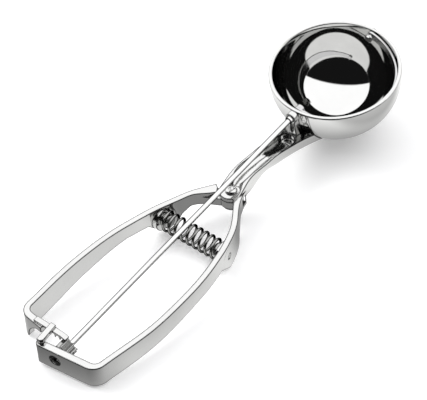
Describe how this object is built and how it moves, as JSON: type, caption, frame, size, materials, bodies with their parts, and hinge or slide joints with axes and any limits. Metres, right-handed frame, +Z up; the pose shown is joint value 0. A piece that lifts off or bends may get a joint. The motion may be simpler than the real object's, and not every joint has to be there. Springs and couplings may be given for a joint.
{
  "type": "ice cream scoop",
  "caption": "Squeeze-handle ice cream scoop with a round bowl, a curved scraper blade turned by a rod, pinion and rack, and a coil return spring between the arms.",
  "frame": {"origin": "centre of the bounding box in plan, at the level of the table that the bowl and the two rear heels stand on", "axes": "+X from the squeeze handles to the bowl, +Y to the moving lever, +Z up, with the scoop lying as in the picture"},
  "size_m": [0.2238, 0.0608, 0.038],
  "materials": {
    "bright_chrome": "polished chrome plate",
    "bright_steel": "bright drawn steel",
    "spring_steel": "plated spring wire"
  },
  "bodies": {
    "frame": {"bowl": "bright_chrome", "far_rivet": "bright_chrome", "far_washer": "bright_steel", "fixed_handle": "bright_chrome", "fixed_spring_stud": "bright_steel", "front_bush": "bright_steel", "pivot_pin": "bright_chrome", "pivot_washer": "bright_chrome", "rear_bush": "bright_steel", "spring": "spring_steel"},
    "lever": {"lever_handle": "bright_chrome", "lever_spring_stud": "bright_steel", "rack": "bright_steel", "rack_rivet": "bright_steel"},
    "scraper": {"blade_hub": "bright_steel", "blade_hub_pin": "bright_steel", "pinion": "bright_steel", "pinion_pin": "bright_steel", "rod": "bright_steel", "scraper_blade": "bright_steel"}
  },
  "joints": [
    {"name": "lever_pivot", "type": "hinge", "parent": "frame", "child": "lever", "pos_m": [0.00554, 0.00063, 0.0116], "axis": [-0.0256, -0.0334, 0.9991], "range_deg": [0, 4.6], "stiffness_Nm_per_rad": 3.4, "springref_deg": -6.59, "deforming": ["spring"]},
    {"name": "scraper_turn", "type": "hinge", "parent": "frame", "child": "scraper", "pos_m": [0.08089, 0.00002, 0.03162], "axis": [0.9924, -0.0033, 0.123], "range_deg": [0, 155]}
  ],
  "couplings": [
    {"joint": "scraper_turn", "follows": "lever_pivot", "ratio": 33.56}
  ]
}
